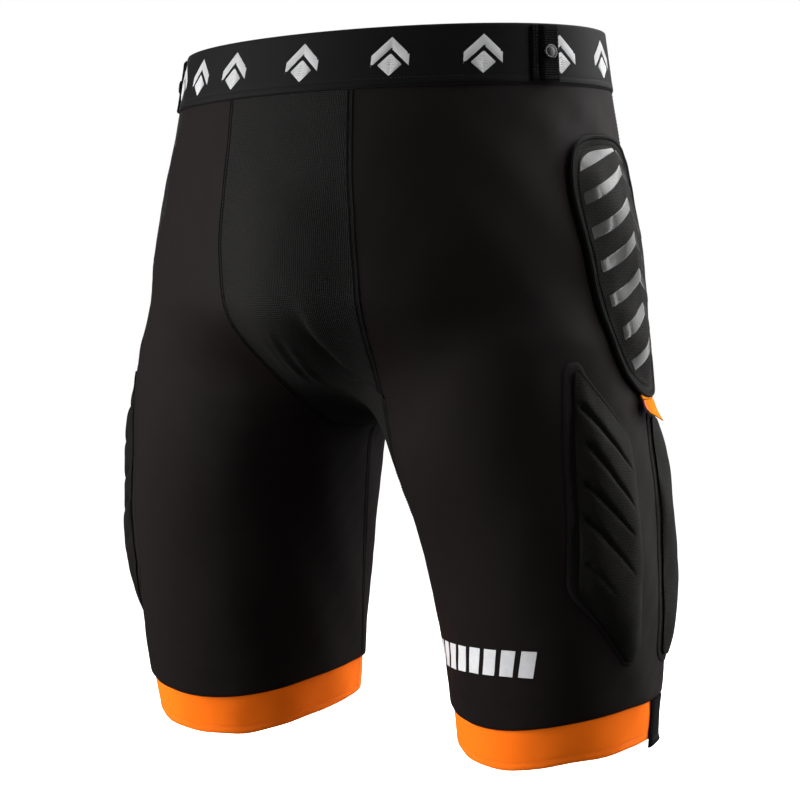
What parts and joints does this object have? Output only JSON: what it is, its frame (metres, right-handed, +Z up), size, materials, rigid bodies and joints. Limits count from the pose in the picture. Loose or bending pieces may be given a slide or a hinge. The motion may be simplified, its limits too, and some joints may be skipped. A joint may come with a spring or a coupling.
{
  "type": "padded impact shorts",
  "caption": "Close-fitting stretch shorts with an elastic waistband, padded hips, thighs and tailbone, and coloured hem bands.",
  "frame": {"origin": "centre of the waistband's top edge", "axes": "+Z up, the front faces -Y, the wearer's left is +X"},
  "size_m": [0.4126, 0.2763, 0.4766],
  "materials": {
    "stretch_fabric": "matt knit with a faint sheen",
    "mesh_fabric": "fine open mesh",
    "waist_elastic": "ribbed woven elastic",
    "hem_fabric": "smooth stretch knit",
    "grip_silicone": "satin",
    "pad_fabric": "close matt knit moulded over foam",
    "pad_foam": "matt foam",
    "grip_film": "thin gloss film",
    "ribbed_tape": "ribbed woven tape",
    "label_fabric": "woven label",
    "snap_metal": "satin black"
  },
  "bodies": {
    "garment": {"waistband": "waist_elastic", "front_mesh_panel": "mesh_fabric", "seat_panel": "stretch_fabric", "front_leg_panel_left": "stretch_fabric", "front_leg_panel_right": "stretch_fabric", "rear_leg_panel_left": "stretch_fabric", "rear_leg_panel_right": "stretch_fabric", "hem_band_left": "hem_fabric", "hem_band_right": "hem_fabric", "hem_gripper_left": "grip_silicone", "hem_gripper_right": "grip_silicone", "hip_pad_foam_left": "pad_foam", "hip_pad_foam_right": "pad_foam", "hip_pad_cover_left": "pad_fabric", "hip_pad_cover_right": "pad_fabric", "hip_pad_grip_film_left": "grip_film", "hip_pad_grip_film_right": "grip_film", "hip_pad_piping_left": "ribbed_tape", "hip_pad_piping_right": "ribbed_tape", "front_thigh_pad_left": "pad_fabric", "front_thigh_pad_right": "pad_fabric", "front_thigh_pad_border_left": "ribbed_tape", "front_thigh_pad_border_right": "ribbed_tape", "rear_thigh_pad_left": "pad_fabric", "rear_thigh_pad_right": "pad_fabric", "rear_thigh_pad_border_left": "ribbed_tape", "rear_thigh_pad_border_right": "ribbed_tape", "tailbone_pad": "pad_fabric", "tailbone_pad_border": "ribbed_tape", "waist_tab_anchor_left": "ribbed_tape", "waist_tab_anchor_right": "ribbed_tape", "waist_snap_stud_left": "snap_metal", "waist_snap_stud_right": "snap_metal", "waist_snap_post_left": "snap_metal", "waist_snap_post_right": "snap_metal"},
    "waist_flap_left": {"waist_tab_left": "ribbed_tape", "tab_snap_cap_left": "snap_metal", "tab_snap_socket_left": "snap_metal"},
    "hem_tab_left": {"hem_pull_tab_left": "ribbed_tape"},
    "label_left": {"pad_label_left": "label_fabric"},
    "waist_flap_right": {"waist_tab_right": "ribbed_tape", "tab_snap_cap_right": "snap_metal", "tab_snap_socket_right": "snap_metal"},
    "hem_tab_right": {"hem_pull_tab_right": "ribbed_tape"},
    "label_right": {"pad_label_right": "label_fabric"}
  },
  "joints": [
    {"name": "waist_flap_lift_left", "type": "hinge", "parent": "garment", "child": "waist_flap_left", "pos_m": [0.14534, -0.0431, -0.02029], "axis": [0.1011, -0.1255, -0.9869], "range_deg": [0, 110]},
    {"name": "hem_tab_lift_left", "type": "hinge", "parent": "garment", "child": "hem_tab_left", "pos_m": [0.1951, 0.01829, -0.42919], "axis": [0.234, -0.9716, -0.0347], "range_deg": [0, 100]},
    {"name": "label_flick_left", "type": "hinge", "parent": "garment", "child": "label_left", "pos_m": [0.19489, 0.00484, -0.2383], "axis": [0.1219, -0.9925, 0], "range_deg": [0, 60], "stiffness_Nm_per_rad": 0.0005},
    {"name": "waist_flap_lift_right", "type": "hinge", "parent": "garment", "child": "waist_flap_right", "pos_m": [-0.14534, -0.0431, -0.02029], "axis": [0.1011, 0.1255, 0.9869], "range_deg": [0, 110]},
    {"name": "hem_tab_lift_right", "type": "hinge", "parent": "garment", "child": "hem_tab_right", "pos_m": [-0.1951, 0.01829, -0.42919], "axis": [0.234, 0.9716, 0.0347], "range_deg": [0, 100]},
    {"name": "label_flick_right", "type": "hinge", "parent": "garment", "child": "label_right", "pos_m": [-0.19489, 0.00484, -0.2383], "axis": [0.1219, 0.9925, 0], "range_deg": [0, 60], "stiffness_Nm_per_rad": 0.0005}
  ]
}
